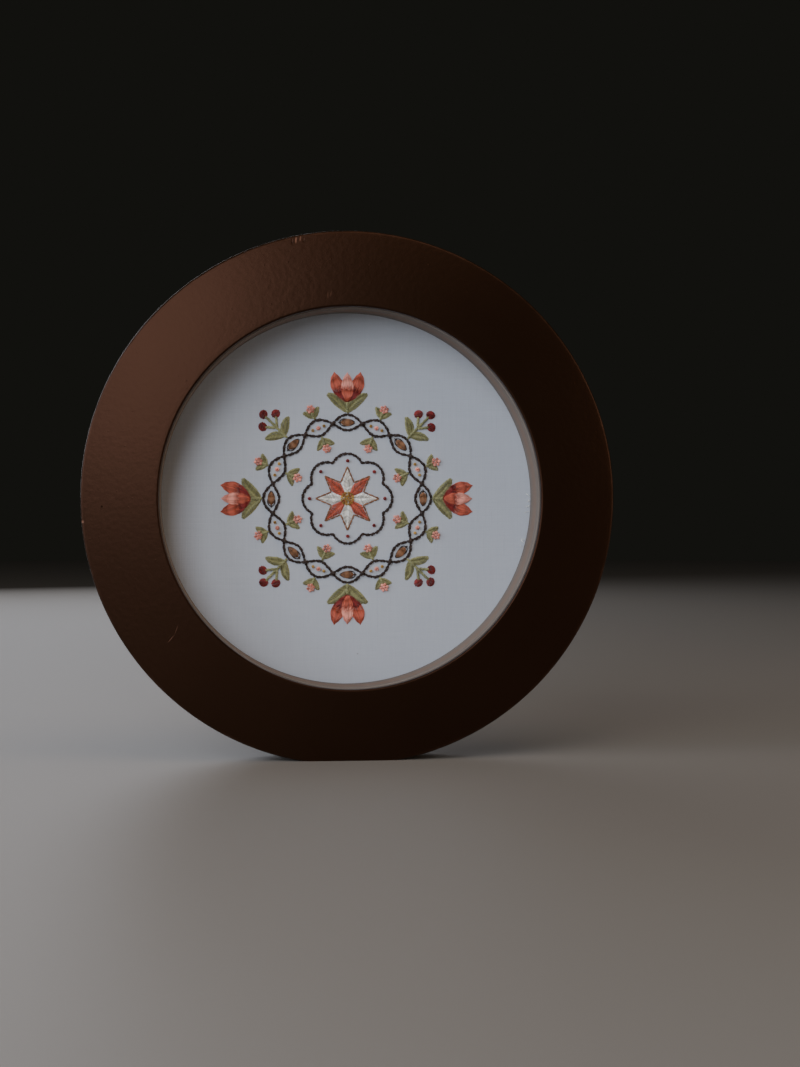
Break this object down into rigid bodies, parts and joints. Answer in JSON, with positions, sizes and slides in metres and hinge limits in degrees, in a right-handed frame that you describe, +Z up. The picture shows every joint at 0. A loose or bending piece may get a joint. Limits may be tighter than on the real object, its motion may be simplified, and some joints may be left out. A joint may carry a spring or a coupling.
{
  "type": "hoop embroidery art in a round frame",
  "caption": "Round piece of embroidered cotton, stretched flat at the bottom of a deep, wide, lacquered wooden ring frame that stands on a small flat.",
  "frame": {"origin": "on the ground under the middle of the object, at the bottom centre of its box", "axes": "+Z up; the embroidered front faces -Y; +X is to the right seen from the front"},
  "size_m": [0.22, 0.032, 0.2181],
  "materials": {
    "lacquered_wood": "dark red-brown satin lacquer over wood",
    "bare_wood": "bare sanded pale wood, fine grain round the ring",
    "cotton_cloth": "plain-woven white cotton, matte",
    "fibre_board": "plain smooth brown fibre board, matte"
  },
  "bodies": {
    "root": {"frame_ring": "lacquered_wood", "spacer_ring": "bare_wood", "cloth_panel": "cotton_cloth", "backing_board": "fibre_board"}
  },
  "joints": []
}
